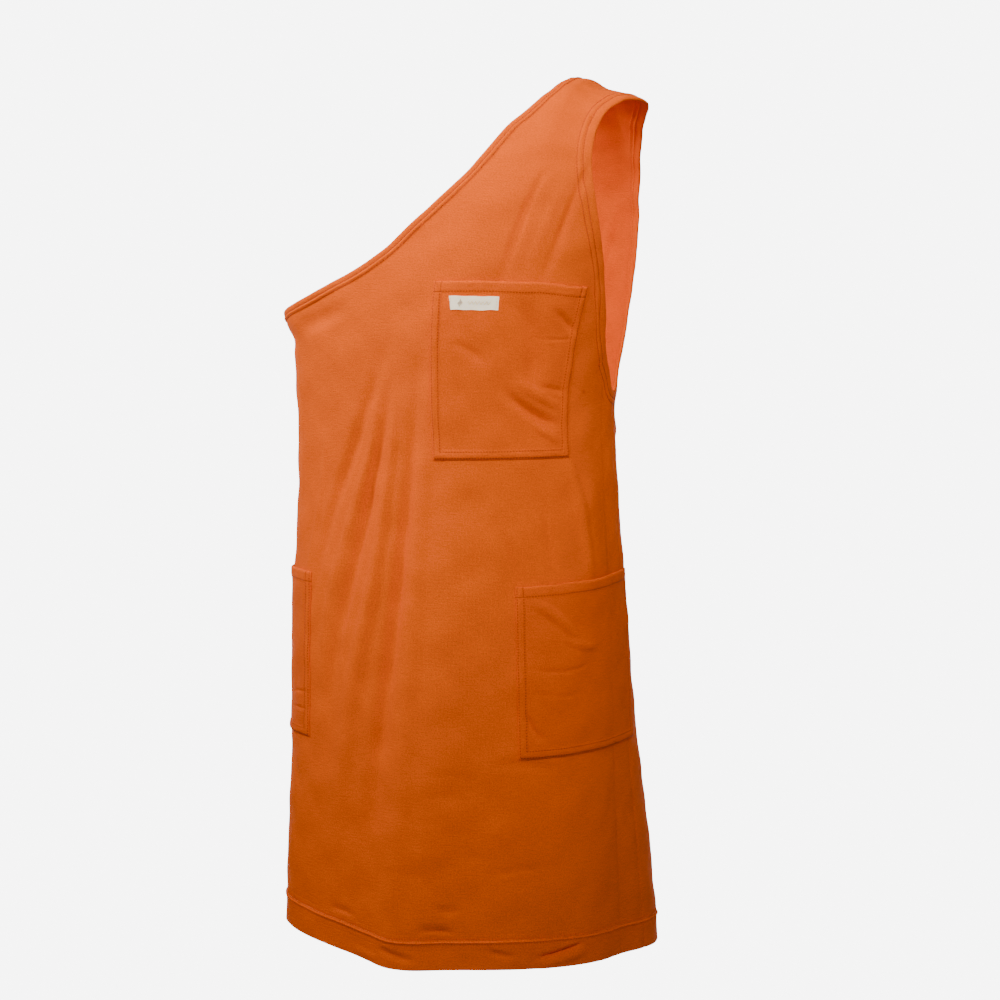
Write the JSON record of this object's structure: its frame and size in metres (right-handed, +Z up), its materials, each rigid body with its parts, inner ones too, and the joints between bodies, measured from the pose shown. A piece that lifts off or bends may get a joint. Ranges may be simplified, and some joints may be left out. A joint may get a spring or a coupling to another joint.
{
  "type": "shoulder robe",
  "caption": "Orange cotton jersey robe, sleeveless, worn across one shoulder, with bound edges, a chest pocket and side pockets",
  "frame": {"origin": "middle of the underside of the shoulder strap, where the wearer's shoulder carries the robe", "axes": "+X to the wearer's left, -Y out of the front, +Z up along the robe's length"},
  "size_m": [0.3509, 0.2903, 0.7818],
  "materials": {
    "jersey": "matte",
    "binding": "matte",
    "pocket": "matte",
    "label": "matte"
  },
  "bodies": {
    "root": {"front_panel": "jersey", "back_panel": "jersey", "neck_binding": "binding", "armhole_binding": "binding", "chest_pocket": "pocket", "chest_label": "label", "left_side_pocket": "pocket", "right_side_pocket": "pocket"}
  },
  "joints": []
}
